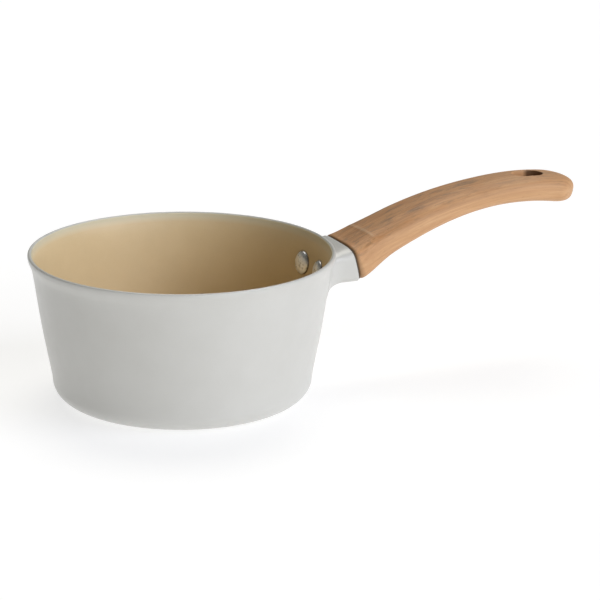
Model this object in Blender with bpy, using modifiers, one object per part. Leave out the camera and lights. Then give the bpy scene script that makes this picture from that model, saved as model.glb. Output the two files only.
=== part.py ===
"""A one-handled saucepan of lacquered aluminium with a beige ceramic lining and a wooden grip.

Metres, +Z up. The origin is the middle of the base's resting face, and +X runs along the handle.
Each sub-part is one object, and neighbours that touch are CLEARANCE apart.
"""

import math

import bmesh
import bpy
import numpy as np
from mathutils import Matrix, Vector

OBJECT_NAME = "saucepan"
CLEARANCE = 0.0003
TURNED_STEPS = 48

# Body
RIM_RADIUS = 0.0825
HEIGHT = 0.080
LIP_HEIGHT = 0.0096
LIP_FLARE = 0.0024
LIP_CURVE = 1.6
WALL_THICKNESS = 0.0020
WALL_TAPER = math.radians(9.34)
WALL_CROWN = 0.0005
CORNER_RADIUS = 0.0103
FLOOR_TOP = 0.0045
LINING_THICKNESS = 0.0004
LINING_STEP = CLEARANCE + LINING_THICKNESS

# Heights where the lip begins and where its rounded crest is centred
LIP_FOOT = HEIGHT - LIP_HEIGHT
CREST_HEIGHT = HEIGHT - WALL_THICKNESS / 2

# Induction plate, sunk in the base but for PLATE_PROUD
PLATE_RADIUS = 0.0530
PLATE_THICKNESS = 0.0008
PLATE_PROUD = 0.0003
PLATE_EDGE = 0.0003
PLATE_HOLE_RADIUS = 0.0016
PLATE_HOLE_RINGS = ((0.0140, 8), (0.0230, 14), (0.0320, 20), (0.0410, 26))

# Rivets, each on an axis square to the wall
RIVET_ANGLE = math.radians(7.75)
RIVET_HEIGHT = 0.0618
RIVET_HEAD_RADIUS = 0.0065
RIVET_HEAD_RISE = 0.0026
RIVET_SHANK_RADIUS = 0.0024
RIVET_TAIL_RADIUS = 0.0032
RIVET_TAIL_RISE = 0.0014
RIVET_TAIL_STAND_OFF = 0.0016
RIVET_HOLE_REACH = (-0.006, 0.008)

# The joint between neck and grip: a plane that leans back by JOINT_LEAN
JOINT_CENTRE = Vector((0.0951, 0.0, 0.0657))
JOINT_LEAN = math.radians(13.5)
JOINT_HALF_WIDTH = 0.0206
JOINT_HALF_HEIGHT = 0.0102
JOINT_POWER = 4.5
GASKET_THICKNESS = 0.0008
GASKET_INSET = 0.0006

# Neck and flange of the cast bracket
ROOT_CENTRE_HEIGHT = 0.0646
ROOT_HALF_WIDTH = 0.0203
ROOT_HALF_HEIGHT = 0.0086
FLANGE_THICKNESS = 0.0022
FLANGE_CENTRE_HEIGHT = 0.0600
FLANGE_HALF_WIDTH = 0.0280
FLANGE_HALF_HEIGHT = 0.0138
FLANGE_EDGE = 0.0010
FLANGE_POWER = 2.6
NECK_WALL = 0.0022
NECK_POWER = 4.0
HOLLOW_POWER = 5.0
NECK_FLOOR_X = 0.0834
NECK_FLOOR_DROP = 0.0008
NECK_CUT_PAST_MOUTH = Vector((0.004, 0.0, 0.001))

# Tang, which the grip is screwed to
TANG_START = Vector((0.0820, 0.0, 0.0616))
TANG_SLOPE = math.radians(23.5)
TANG_LENGTH = 0.060
TANG_WIDTH = 0.0090
TANG_HEIGHT = 0.0060

# Grip: arc length, and what its sections do along it, at fractions of that length
GRIP_LENGTH = 0.1490
SLOPE_AT = (0.0, 0.03, 0.10, 0.17, 0.25, 0.50, 0.75, 1.0)
SLOPES = np.radians((13.5, 24.1, 28.0, 23.2, 21.4, 11.8, 0.3, -13.8))
SIZE_AT = (0.0, 0.12, 0.3, 0.6, 0.85, 1.0)
HALF_WIDTHS = (0.0206, 0.0186, 0.0169, 0.0158, 0.0159, 0.0162)
HALF_HEIGHTS = (0.0102, 0.0091, 0.0082, 0.0068, 0.0075, 0.0079)
GRIP_POWER = 3.0
POWERS = (JOINT_POWER, 3.3, GRIP_POWER, GRIP_POWER, GRIP_POWER, GRIP_POWER)
TIP_ROUND_FROM = 0.90
TIP_FULLNESS = 0.87
GRIP_EDGE_ROUND = 0.0018

# Hang hole near the grip's end
HOLE_X = 0.2105
HOLE_RADIUS = 0.0060
HOLE_STRAIGHT = 0.0060
HOLE_CUT_HEIGHTS = (0.075, 0.115)

# Screw up through the underside of the grip into the tang
SCREW_ALONG_TANG = 0.046
SCREW_HEAD_RADIUS = 0.0036
SCREW_HEAD_HEIGHT = 0.0018
SCREW_SHANK_RADIUS = 0.0018
SCREW_SEAT_BELOW_TANG = 0.0014
SCREW_LENGTH = 0.0060
SCREW_SLOT = (0.0040, 0.0009, 0.0024)
WASHER_THICKNESS = 0.0006
WASHER_RADIUS = 0.0039
COUNTERBORE_RADIUS = 0.0044

COLOURS = {
    "lacquer": ((0.58, 0.57, 0.53), 0.35, 0.0),
    "lining": ((0.62, 0.47, 0.28), 0.45, 0.0),
    "steel": ((0.62, 0.61, 0.58), 0.25, 1.0),
    "rubber": ((0.06, 0.045, 0.035), 0.7, 0.0),
    "wood": ((0.50, 0.27, 0.13), 0.55, 0.0),
}


# ---------------------------------------------------------------- scene and helpers


def clear_scene():
    for obj in list(bpy.data.objects):
        bpy.data.objects.remove(obj)


def new_collection(name):
    collection = bpy.data.collections.new(name)
    bpy.context.scene.collection.children.link(collection)
    return collection


def new_material(name, colour, roughness, metallic):
    material = bpy.data.materials.new(name)
    material.use_nodes = True
    shader = material.node_tree.nodes["Principled BSDF"]
    shader.inputs["Base Color"].default_value = (*colour, 1.0)
    shader.inputs["Roughness"].default_value = roughness
    shader.inputs["Metallic"].default_value = metallic
    return material


def new_object(name, mesh, collection, finish=None):
    """An object in the collection, with its own material of the finish, or a hidden cutter without one."""
    obj = bpy.data.objects.new(name, mesh)
    collection.objects.link(obj)
    if finish is None:
        obj.hide_render = True
        obj.display_type = "WIRE"
    else:
        mesh.materials.append(new_material(name, *COLOURS[finish]))
    return obj


def mesh_from(name, bm):
    bmesh.ops.recalc_face_normals(bm, faces=bm.faces)
    mesh = bpy.data.meshes.new(name)
    bm.to_mesh(mesh)
    bm.free()
    mesh.shade_smooth()
    mesh.set_sharp_from_angle(angle=math.radians(35))
    return mesh


def turned(name, profile, collection, finish=None, steps=TURNED_STEPS):
    """A profile of (radius, height) points turned about Z, from the axis on top round to the axis below."""
    bm = bmesh.new()
    points = [bm.verts.new((radius, 0.0, height)) for radius, height in profile]
    for upper, lower in zip(points, points[1:]):
        bm.edges.new((upper, lower))
    mesh = bpy.data.meshes.new(name)
    bm.to_mesh(mesh)
    bm.free()
    obj = new_object(name, mesh, collection, finish)
    screw = obj.modifiers.new("turn", "SCREW")
    screw.steps = steps
    screw.render_steps = steps
    screw.use_merge_vertices = True
    screw.merge_threshold = 0.00001
    screw.use_smooth_shade = True
    return obj


def lofted(name, rings, collection, finish=None):
    """A closed skin over rings of points, all in the same order, with a flat cap on each end."""
    bm = bmesh.new()
    loops = [[bm.verts.new(point) for point in ring] for ring in rings]
    count = len(loops[0])
    for first, second in zip(loops, loops[1:]):
        for i in range(count):
            j = (i + 1) % count
            bm.faces.new((first[i], first[j], second[j], second[i]))
    bm.faces.new(loops[0])
    bm.faces.new(loops[-1])
    bmesh.ops.triangulate(bm, faces=bm.faces)
    return new_object(name, mesh_from(name, bm), collection, finish)


def box(name, size, matrix, collection):
    bm = bmesh.new()
    bmesh.ops.create_cube(bm, size=1.0)
    bmesh.ops.scale(bm, vec=size, verts=bm.verts)
    bmesh.ops.transform(bm, matrix=matrix, verts=bm.verts)
    return new_object(name, mesh_from(name, bm), collection)


def drill(name, radius, start, end, collection, segments=16):
    """A round cutter from one point to another."""
    start, end = Vector(start), Vector(end)
    along = end - start
    turn = along.to_track_quat("Z", "Y").to_matrix().to_4x4()
    bm = bmesh.new()
    bmesh.ops.create_cone(
        bm,
        cap_ends=True,
        segments=segments,
        radius1=radius,
        radius2=radius,
        depth=along.length,
        matrix=Matrix.Translation((start + end) / 2) @ turn,
    )
    return new_object(name, mesh_from(name, bm), collection)


def combine(obj, other, operation):
    modifier = obj.modifiers.new(other.name, "BOOLEAN")
    modifier.operation = operation
    modifier.solver = "EXACT"
    modifier.object = other


def smooth(at, knots, values):
    """The value at a place on the cubic curve through the knots."""
    knots, values = np.asarray(knots), np.asarray(values)
    slopes = np.gradient(values, knots)
    i = int(np.clip(np.searchsorted(knots, at) - 1, 0, len(knots) - 2))
    span = knots[i + 1] - knots[i]
    s = (at - knots[i]) / span
    return (
        (1 + 2 * s) * (1 - s) ** 2 * values[i]
        + s * (1 - s) ** 2 * span * slopes[i]
        + s * s * (3 - 2 * s) * values[i + 1]
        + s * s * (s - 1) * span * slopes[i + 1]
    )


def oval(half_width, half_height, count, power):
    """Points (across, up) of a superellipse, evenly spread in angle."""
    points = []
    for i in range(count):
        angle = 2 * math.pi * (i + 0.5) / count
        c, s = math.cos(angle), math.sin(angle)
        across = half_width * math.copysign(abs(c) ** (2 / power), c)
        up = half_height * math.copysign(abs(s) ** (2 / power), s)
        points.append((across, up))
    return points


def leaning(centre, lean, points):
    """Points (across, up) placed in a plane that faces along the handle and leans back towards the pan."""
    up = Vector((-math.sin(lean), 0.0, math.cos(lean)))
    side = Vector((0.0, 1.0, 0.0))
    return [centre + side * across + up * rise for across, rise in points]


def arc(centre, radius, start, end, count):
    """Points (radius, height) along an arc, from one angle in degrees to another."""
    angles = np.radians(np.linspace(start, end, count))
    return [(centre[0] + radius * math.cos(a), centre[1] + radius * math.sin(a)) for a in angles]


# ---------------------------------------------------------------- body


def wall_radius(height, inset=0.0):
    """Radius of the body's outer face at a height, flared in the lip, or of a face that far inside it."""
    if height > LIP_FOOT:
        below_crest = (CREST_HEIGHT - height) / (CREST_HEIGHT - LIP_FOOT)
        return RIM_RADIUS - LIP_FLARE * max(0.0, below_crest) ** LIP_CURVE - inset
    taper = (LIP_FOOT - height) * math.tan(WALL_TAPER)
    s = max(0.0, (height - CORNER_RADIUS) / (LIP_FOOT - CORNER_RADIUS))
    crown = WALL_CROWN * 16 * s**2 * (1 - s) ** 2
    return RIM_RADIUS - LIP_FLARE - taper + crown - inset


def wall_side(inset, floor, corner):
    """One face of the body from the crest down to the floor, at an inset from the outer face."""
    lip = np.linspace(CREST_HEIGHT, LIP_FOOT, 4)
    wall = np.linspace(LIP_FOOT, floor + corner, 5)
    points = [(wall_radius(height, inset), height) for height in (*lip, *wall[1:-1])]
    foot = wall_radius(floor + corner, inset) - corner * math.cos(WALL_TAPER)
    return points + arc((foot, floor + corner), corner, -math.degrees(WALL_TAPER), -90, 5)


def make_pan_shell(parts, cutters):
    crest = arc((RIM_RADIUS - WALL_THICKNESS / 2, CREST_HEIGHT), WALL_THICKNESS / 2, 180, 0, 5)
    inner = wall_side(WALL_THICKNESS, FLOOR_TOP, CORNER_RADIUS - WALL_THICKNESS)
    outer = wall_side(0.0, PLATE_PROUD, CORNER_RADIUS)
    recess_radius = PLATE_RADIUS + CLEARANCE
    recess_top = PLATE_THICKNESS + CLEARANCE
    profile = [(0.0, FLOOR_TOP)] + inner[::-1] + crest[1:-1] + outer
    profile += [(recess_radius, PLATE_PROUD), (recess_radius, recess_top), (0.0, recess_top)]
    shell = turned("pan_shell", profile, parts, "lacquer")
    cut_rivet_holes(shell, cutters)
    return shell


def make_lining(parts, cutters):
    """The ceramic lining, a thin skin over the inside, up to where the rim's crest starts to round over."""
    back_floor = FLOOR_TOP + CLEARANCE
    face_floor = FLOOR_TOP + LINING_STEP
    corner = CORNER_RADIUS - WALL_THICKNESS
    back = wall_side(WALL_THICKNESS + CLEARANCE, back_floor, corner - CLEARANCE)
    face = wall_side(WALL_THICKNESS + LINING_STEP, face_floor, corner - LINING_STEP)
    profile = [(0.0, face_floor)] + face[::-1] + back + [(0.0, back_floor)]
    lining = turned("ceramic_lining", profile, parts, "lining")
    cut_rivet_holes(lining, cutters)
    return lining


def make_induction_plate(parts, cutters):
    profile = [
        (0.0, PLATE_THICKNESS),
        (PLATE_RADIUS - PLATE_EDGE, PLATE_THICKNESS),
        (PLATE_RADIUS, PLATE_THICKNESS - PLATE_EDGE),
        (PLATE_RADIUS, PLATE_EDGE),
        (PLATE_RADIUS - PLATE_EDGE, 0.0),
        (0.0, 0.0),
    ]
    plate = turned("induction_plate", profile, parts, "steel")
    bm = bmesh.new()
    for radius, count in PLATE_HOLE_RINGS:
        for i in range(count):
            angle = 2 * math.pi * (i + 0.37) / count
            place = Matrix.Translation((radius * math.cos(angle), radius * math.sin(angle), 0.0))
            bmesh.ops.create_cone(
                bm,
                cap_ends=True,
                segments=8,
                radius1=PLATE_HOLE_RADIUS,
                radius2=PLATE_HOLE_RADIUS,
                depth=4 * PLATE_THICKNESS,
                matrix=place,
            )
    holes = new_object("plate_holes", mesh_from("plate_holes", bm), cutters)
    combine(plate, holes, "DIFFERENCE")
    return plate


# ---------------------------------------------------------------- rivets


def rivet_frame(side):
    """A matrix whose origin is on the wall's outer face and whose Z points out of the pan, square to it."""
    angle = side * RIVET_ANGLE
    around = Matrix.Rotation(angle, 4, "Z")
    outward = Matrix.Rotation(math.pi / 2 + WALL_TAPER, 4, "Y")
    return around @ Matrix.Translation((wall_radius(RIVET_HEIGHT), 0.0, RIVET_HEIGHT)) @ outward


def cut_rivet_holes(obj, cutters):
    for side in (-1, 1):
        frame = rivet_frame(side)
        start, end = (frame @ Vector((0.0, 0.0, reach)) for reach in RIVET_HOLE_REACH)
        hole = drill(f"{obj.name}_rivet_hole_{side}", RIVET_SHANK_RADIUS + CLEARANCE, start, end, cutters)
        combine(obj, hole, "DIFFERENCE")


def make_rivet(name, side, parts):
    """A domed head inside the pan, a shank through the wall and a flat tail inside the neck."""
    head_seat = -(WALL_THICKNESS + LINING_STEP + 2 * CLEARANCE)
    tail_seat = NECK_FLOOR_X - wall_radius(RIVET_HEIGHT) + RIVET_TAIL_STAND_OFF
    dome_radius = (RIVET_HEAD_RADIUS**2 + RIVET_HEAD_RISE**2) / (2 * RIVET_HEAD_RISE)
    half_angle = math.asin(RIVET_HEAD_RADIUS / dome_radius)
    profile = [
        (0.0, tail_seat + RIVET_TAIL_RISE),
        (RIVET_TAIL_RADIUS * 0.7, tail_seat + RIVET_TAIL_RISE),
        (RIVET_TAIL_RADIUS, tail_seat + RIVET_TAIL_RISE / 2),
        (RIVET_TAIL_RADIUS, tail_seat),
        (RIVET_SHANK_RADIUS, tail_seat),
        (RIVET_SHANK_RADIUS, head_seat),
    ]
    dome_centre = head_seat - RIVET_HEAD_RISE + dome_radius
    for i in range(6):
        angle = half_angle * (1 - i / 5)
        profile.append((dome_radius * math.sin(angle), dome_centre - dome_radius * math.cos(angle)))
    rivet = turned(name, profile, parts, "steel", 16)
    rivet.matrix_world = rivet_frame(side)
    return rivet


# ---------------------------------------------------------------- bracket


def on_wall(across, height, stand_off):
    """The point that far outside the pan's wall, at a place across the handle and a height."""
    radius = wall_radius(height) + stand_off
    return Vector((math.sqrt(radius**2 - across**2), across, height))


def neck_rings(count):
    """Rings from the mouth of the neck, down its fillet, over the flange's edge and across its back."""
    back_from_joint = GASKET_THICKNESS / 2 + CLEARANCE
    along = Vector((math.cos(JOINT_LEAN), 0.0, math.sin(JOINT_LEAN)))
    mouth_centre = JOINT_CENTRE - along * back_from_joint
    mouth_outline = oval(JOINT_HALF_WIDTH, JOINT_HALF_HEIGHT, count, JOINT_POWER)
    mouth = leaning(mouth_centre, JOINT_LEAN, mouth_outline)
    root_outline = oval(ROOT_HALF_WIDTH, ROOT_HALF_HEIGHT, count, NECK_POWER)
    root = [(y, ROOT_CENTRE_HEIGHT + z) for y, z in root_outline]
    outline = oval(FLANGE_HALF_WIDTH, FLANGE_HALF_HEIGHT, count, FLANGE_POWER)
    flange = [(y, FLANGE_CENTRE_HEIGHT + z) for y, z in outline]
    surface = CLEARANCE + FLANGE_THICKNESS
    corner = [on_wall(y, z, surface) for y, z in root]
    edge = [on_wall(y, z, CLEARANCE + FLANGE_EDGE) for y, z in flange]
    start = [c.lerp(m, 0.5) for c, m in zip(corner, mouth)]
    rings = [mouth]
    for s in (0.0, 0.25, 0.5, 0.75, 1.0):
        pairs = zip(start, corner, edge)
        rings.append([a * (1 - s) ** 2 + b * 2 * s * (1 - s) + c * s * s for a, b, c in pairs])
    for reach in (1.0, 0.66, 0.33):
        ring = []
        for y, z in flange:
            height = FLANGE_CENTRE_HEIGHT + reach * (z - FLANGE_CENTRE_HEIGHT)
            ring.append(on_wall(reach * y, height, CLEARANCE))
        rings.append(ring)
    return rings


def tang_matrix():
    return Matrix.Translation(TANG_START) @ Matrix.Rotation(-TANG_SLOPE, 4, "Y")


def make_tang(name, room, collection):
    """The tang's bar, or the space it needs when room is over zero."""
    size = (TANG_LENGTH + room, TANG_WIDTH + 2 * room, TANG_HEIGHT + 2 * room)
    middle = Matrix.Translation(((TANG_LENGTH + room) / 2, 0.0, 0.0))
    return box(name, size, tang_matrix() @ middle, collection)


def make_bracket(parts, cutters):
    bracket = lofted("handle_bracket", neck_rings(28), parts, "lacquer")
    inner = oval(JOINT_HALF_WIDTH - NECK_WALL, JOINT_HALF_HEIGHT - NECK_WALL, 20, HOLLOW_POWER)
    deep_half_height = ROOT_HALF_HEIGHT - NECK_WALL + NECK_FLOOR_DROP
    deep = oval(ROOT_HALF_WIDTH - NECK_WALL, deep_half_height, 20, HOLLOW_POWER)
    outside = JOINT_CENTRE + NECK_CUT_PAST_MOUTH
    floor = Vector((NECK_FLOOR_X, 0.0, ROOT_CENTRE_HEIGHT - NECK_FLOOR_DROP))
    hollow = lofted("neck_hollow", [leaning(outside, JOINT_LEAN, inner), leaning(floor, 0.0, deep)], cutters)
    combine(bracket, hollow, "DIFFERENCE")
    combine(bracket, make_tang("tang_bar", 0.0, cutters), "UNION")
    cut_rivet_holes(bracket, cutters)
    seat, tip = screw_line()
    hole = drill("tang_screw_hole", SCREW_SHANK_RADIUS + CLEARANCE, seat, tip + (tip - seat), cutters)
    combine(bracket, hole, "DIFFERENCE")
    return bracket


def make_gasket(parts, cutters):
    """The thin dark seal between the neck's mouth and the grip."""
    along = Vector((math.cos(JOINT_LEAN), 0.0, math.sin(JOINT_LEAN)))
    outline = oval(JOINT_HALF_WIDTH - GASKET_INSET, JOINT_HALF_HEIGHT - GASKET_INSET, 28, JOINT_POWER)
    faces = [JOINT_CENTRE + along * (side * GASKET_THICKNESS / 2) for side in (-1, 1)]
    gasket = lofted("joint_gasket", [leaning(c, JOINT_LEAN, outline) for c in faces], parts, "rubber")
    combine(gasket, make_tang("gasket_slot", CLEARANCE, cutters), "DIFFERENCE")
    return gasket


# ---------------------------------------------------------------- grip


def grip_centreline(samples=400):
    """Fractions of the grip's length, and the centreline's points there."""
    at = np.linspace(0.0, 1.0, samples)
    slope = np.array([smooth(a, SLOPE_AT, SLOPES) for a in at])
    step = GRIP_LENGTH / (samples - 1)
    middle = (slope[1:] + slope[:-1]) / 2
    x = JOINT_CENTRE.x + np.concatenate([[0.0], np.cumsum(np.cos(middle)) * step])
    z = JOINT_CENTRE.z + np.concatenate([[0.0], np.cumsum(np.sin(middle)) * step])
    return at, x, z


def grip_ring(at, centreline, count, inset=0.0):
    """The grip's section at a place. Past TIP_ROUND_FROM it is a slice of a turned, rounded end."""
    places, x, z = centreline
    centre = Vector((np.interp(at, places, x), 0.0, np.interp(at, places, z)))
    half_width = smooth(at, SIZE_AT, HALF_WIDTHS) - inset
    half_height = smooth(at, SIZE_AT, HALF_HEIGHTS) - inset
    closed = max(0.0, (at - TIP_ROUND_FROM) / (1 - TIP_ROUND_FROM)) ** TIP_FULLNESS
    power = smooth(at, SIZE_AT, POWERS)
    slice_height = half_height * (1 - closed**power) ** (1 / power)
    section = []
    for across, up in oval(half_width, slice_height, count, power):
        reach = half_width * (1 - (abs(up) / half_height) ** power) ** (1 / power)
        slice_width = math.sqrt(max(0.0, reach**2 - (closed * half_width) ** 2))
        section.append((math.copysign(slice_width, across), up))
    return leaning(centre, smooth(at, SLOPE_AT, SLOPES), section)


def grip_rings(count):
    centreline = grip_centreline()
    front = (GASKET_THICKNESS / 2 + CLEARANCE) / GRIP_LENGTH
    edge = GRIP_EDGE_ROUND / GRIP_LENGTH
    rings = [grip_ring(front, centreline, count, GRIP_EDGE_ROUND * 0.6)]
    rings.append(grip_ring(front + 0.35 * edge, centreline, count, GRIP_EDGE_ROUND * 0.15))
    for at in np.linspace(front + edge, TIP_ROUND_FROM, 12):
        rings.append(grip_ring(at, centreline, count))
    for angle in np.radians(np.linspace(12, 86, 8)):
        at = TIP_ROUND_FROM + (1 - TIP_ROUND_FROM) * math.sin(angle)
        rings.append(grip_ring(at, centreline, count))
    return rings


def stadium(name, centre_x, straight, radius, heights, collection):
    """An upright cutter with round ends, its straight run along X."""
    outline = []
    for side, first in ((1, -90), (-1, 90)):
        outline += arc((centre_x + side * straight / 2, 0.0), radius, first, first + 180, 9)
    rings = [[Vector((x, y, height)) for x, y in outline] for height in heights]
    return lofted(name, rings, collection)


def make_grip(parts, cutters):
    grip = lofted("wooden_grip", grip_rings(24), parts, "wood")
    combine(grip, make_tang("tang_socket", CLEARANCE, cutters), "DIFFERENCE")
    hole = stadium("hang_hole", HOLE_X, HOLE_STRAIGHT, HOLE_RADIUS, HOLE_CUT_HEIGHTS, cutters)
    combine(grip, hole, "DIFFERENCE")
    seat, tip = screw_line()
    below = seat + (seat - tip).normalized() * 0.02
    combine(grip, drill("screw_counterbore", COUNTERBORE_RADIUS, below, seat, cutters, 20), "DIFFERENCE")
    combine(
        grip, drill("screw_clearance", SCREW_SHANK_RADIUS + CLEARANCE, below, tip, cutters), "DIFFERENCE"
    )
    return grip


# ---------------------------------------------------------------- screw


def screw_line():
    """The seat of the screw, below the tang, and the tip of its shank inside it."""
    seat = tang_matrix() @ Vector((SCREW_ALONG_TANG, 0.0, -TANG_HEIGHT / 2 - SCREW_SEAT_BELOW_TANG))
    up = tang_matrix().to_3x3() @ Vector((0.0, 0.0, 1.0))
    return seat, seat + up * SCREW_LENGTH


def screw_frame():
    """A matrix with its origin at the screw's seat and its Z up along the shank."""
    return Matrix.Translation(screw_line()[0]) @ Matrix.Rotation(-TANG_SLOPE, 4, "Y")


def make_screw(parts, cutters):
    under_head = -(WASHER_THICKNESS + 2 * CLEARANCE)
    profile = [
        (0.0, SCREW_LENGTH),
        (SCREW_SHANK_RADIUS * 0.6, SCREW_LENGTH),
        (SCREW_SHANK_RADIUS, SCREW_LENGTH - 0.0008),
        (SCREW_SHANK_RADIUS, under_head),
        (SCREW_HEAD_RADIUS, under_head),
        (SCREW_HEAD_RADIUS, under_head - SCREW_HEAD_HEIGHT * 0.4),
        (SCREW_HEAD_RADIUS * 0.65, under_head - SCREW_HEAD_HEIGHT),
        (0.0, under_head - SCREW_HEAD_HEIGHT),
    ]
    screw = turned("grip_screw", profile, parts, "steel", 20)
    screw.matrix_world = screw_frame()
    depth = under_head - SCREW_HEAD_HEIGHT
    for turn in (0.0, math.pi / 2):
        place = screw_frame() @ Matrix.Translation((0.0, 0.0, depth)) @ Matrix.Rotation(turn, 4, "Z")
        slot = box(f"screw_cross_{turn:.1f}", SCREW_SLOT, place, cutters)
        combine(screw, slot, "DIFFERENCE")
    return screw


def make_washer(parts):
    top = -CLEARANCE
    bottom = top - WASHER_THICKNESS
    inner = SCREW_SHANK_RADIUS + CLEARANCE
    outer = WASHER_RADIUS
    profile = [(inner, top), (outer, top), (outer, bottom), (inner, bottom), (inner, top)]
    washer = turned("screw_washer", profile, parts, "steel", 20)
    washer.matrix_world = screw_frame()
    return washer


def main():
    clear_scene()
    parts = new_collection(OBJECT_NAME)
    cutters = new_collection("cutters")
    make_pan_shell(parts, cutters)
    make_lining(parts, cutters)
    make_induction_plate(parts, cutters)
    make_rivet("rivet_left", 1, parts)
    make_rivet("rivet_right", -1, parts)
    make_bracket(parts, cutters)
    make_gasket(parts, cutters)
    make_grip(parts, cutters)
    make_screw(parts, cutters)
    make_washer(parts)


main()
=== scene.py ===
import math

import bmesh
import bpy
import numpy as np
from mathutils import Matrix, Vector


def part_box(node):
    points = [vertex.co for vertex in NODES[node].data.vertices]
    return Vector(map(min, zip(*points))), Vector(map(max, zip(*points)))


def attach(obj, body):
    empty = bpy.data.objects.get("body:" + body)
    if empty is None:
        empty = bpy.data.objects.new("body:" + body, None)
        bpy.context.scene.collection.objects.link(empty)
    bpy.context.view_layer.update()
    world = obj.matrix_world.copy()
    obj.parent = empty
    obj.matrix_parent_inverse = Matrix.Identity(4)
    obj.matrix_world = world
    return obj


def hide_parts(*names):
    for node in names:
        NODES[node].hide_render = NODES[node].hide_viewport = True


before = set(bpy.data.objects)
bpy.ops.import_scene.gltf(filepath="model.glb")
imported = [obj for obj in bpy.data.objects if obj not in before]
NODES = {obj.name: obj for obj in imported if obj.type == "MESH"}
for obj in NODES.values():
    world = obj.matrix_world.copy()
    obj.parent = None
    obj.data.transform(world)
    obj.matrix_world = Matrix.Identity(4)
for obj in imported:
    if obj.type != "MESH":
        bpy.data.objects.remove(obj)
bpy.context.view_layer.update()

# ---------------------------------------------------------------- sizes, in metres

TURNED_STEPS = 192

# The body, read from the frame, where neighbouring solids are CAD_GAP apart
CAD_GAP = 0.0003
RIM_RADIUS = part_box("pan_shell")[1].y
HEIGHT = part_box("pan_shell")[1].z
BASE_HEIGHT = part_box("pan_shell")[0].z
FLOOR_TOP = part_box("ceramic_lining")[0].z - CAD_GAP
PLATE_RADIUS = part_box("induction_plate")[1].y
PLATE_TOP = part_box("induction_plate")[1].z

# The body's walls. LIP_INSETS are how far the lip is inside the rim's radius at LIP_DEPTHS below the crest
WALL_THICKNESS = 0.0020
LINING_THICKNESS = 0.00025
WALL_TAPER = math.radians(9.34)
WALL_CROWN = 0.0005
CORNER_RADIUS = 0.0103
CREST_HEIGHT = HEIGHT - WALL_THICKNESS / 2
LIP_DEPTHS = (0.0, 0.0012, 0.0024, 0.0040, 0.0060, 0.0086)
LIP_INSETS = (0.0, 0.00006, 0.00036, 0.00102, 0.00176, 0.0024)
LIP_FOOT = CREST_HEIGHT - LIP_DEPTHS[-1]
LINING_EDGE_ANGLE = 150.0

# The induction plate's recess, its rings of holes (radius, count), and the aluminium pips in them
RECESS_GAP = 0.0003
SMALL_EDGE = 0.0003
PLATE_HOLE_RADIUS = 0.0016
PLATE_HOLE_RINGS = ((0.0140, 8), (0.0230, 14), (0.0320, 20), (0.0410, 26))
PIP_SINK = 0.0003
PIP_TAPER = 0.9

# Rivets. The dome's powers make it flatter on top and steeper at its rim than a round one
RIVET_ANGLE = math.radians(7.75)
RIVET_HEIGHT = 0.0618
RIVET_HEAD_RADIUS = 0.0065
RIVET_HEAD_RISE = 0.0026
RIVET_SHANK_RADIUS = 0.0024
RIVET_TAIL_REACH = 0.0040
RIVET_DRILL_REACH = (-0.006, 0.008)
RIVET_FOOT_SHARE = 0.97
RIVET_DOME_POWERS = (0.86, 0.9)

# The joint between neck and grip
JOINT_CENTRE = Vector((0.0951, 0.0, 0.0657))
JOINT_LEAN = math.radians(13.5)
JOINT_HALF_WIDTH = 0.0206
JOINT_HALF_HEIGHT = 0.0102
JOINT_POWER = 4.5
GASKET_THICKNESS = 0.0008
GASKET_INSET = 0.0006
GASKET_EDGES = ((-0.5, 0.00015), (-0.3, 0.0), (0.3, 0.0), (0.5, 0.00015))
TOUCH = 0.00002

# Neck and flange of the bracket
ROOT_CENTRE_HEIGHT = 0.0646
ROOT_HALF_WIDTH = 0.0203
ROOT_HALF_HEIGHT = 0.0086
FLANGE_THICKNESS = 0.0022
FLANGE_CENTRE_HEIGHT = 0.0600
FLANGE_HALF_WIDTH = 0.0280
FLANGE_HALF_HEIGHT = 0.0138
FLANGE_EDGE = 0.0010
FLANGE_POWER = 2.6
NECK_POWER = 6.0
NECK_WALL = 0.0022
HOLLOW_PAST_MOUTH = Vector((0.004, 0.0, 0.001))
HOLLOW_FLOOR_X = 0.0850

# Rounded edges: (distance back from the mouth, inset), and (share of the flange's reach, stand-off)
MOUTH_EDGE = ((0.0, 0.0005), (0.00015, 0.00022), (0.0005, 0.0))
FLANGE_BACK = ((1.004, 0.0006), (1.002, 0.0002), (0.995, TOUCH), (0.66, TOUCH), (0.33, TOUCH))

# Grip: arc length, and what its sections do along it, at fractions of that length
GRIP_LENGTH = 0.1490
SLOPE_AT = (0.0, 0.03, 0.10, 0.17, 0.25, 0.50, 0.75, 1.0)
SLOPES = np.radians((13.5, 24.1, 28.0, 23.2, 21.4, 11.8, 0.3, -13.8))
SIZE_AT = (0.0, 0.12, 0.3, 0.6, 0.85, 1.0)
HALF_WIDTHS = (0.0206, 0.0186, 0.0169, 0.0158, 0.0159, 0.0162)
HALF_HEIGHTS = (0.0102, 0.0091, 0.0082, 0.0068, 0.0075, 0.0079)
GRIP_POWER = 3.0
POWERS = (JOINT_POWER, 3.3, GRIP_POWER, GRIP_POWER, GRIP_POWER, GRIP_POWER)
TIP_ROUND_FROM = 0.90
TIP_FULLNESS = 0.87
GRIP_EDGE_ROUND = 0.0024
RIDGE_AT = 0.0168
RIDGE_RISE = 0.00025
RIDGE_REACH = 0.0009
RIDGE_SKEW = 0.04
HOLLOW_LENGTH = 0.024
HOLLOW_DEPTH = 0.0004
HOLE_X = 0.2105
HOLE_RADIUS = 0.0060
HOLE_STRAIGHT = 0.0060
HOLE_CUT_HEIGHTS = (0.075, 0.115)
GRIP_VOXEL = 0.00042
GRAIN_SAMPLES = 300

# The wood's darker figure and the painted shade on the grip's top: heights above the centreline between
# which they come in, and places along the grip between which they go out
WOOD_TOP = (0.0028, 0.0070)
WOOD_FRONT = (0.085, 0.108)
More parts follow.
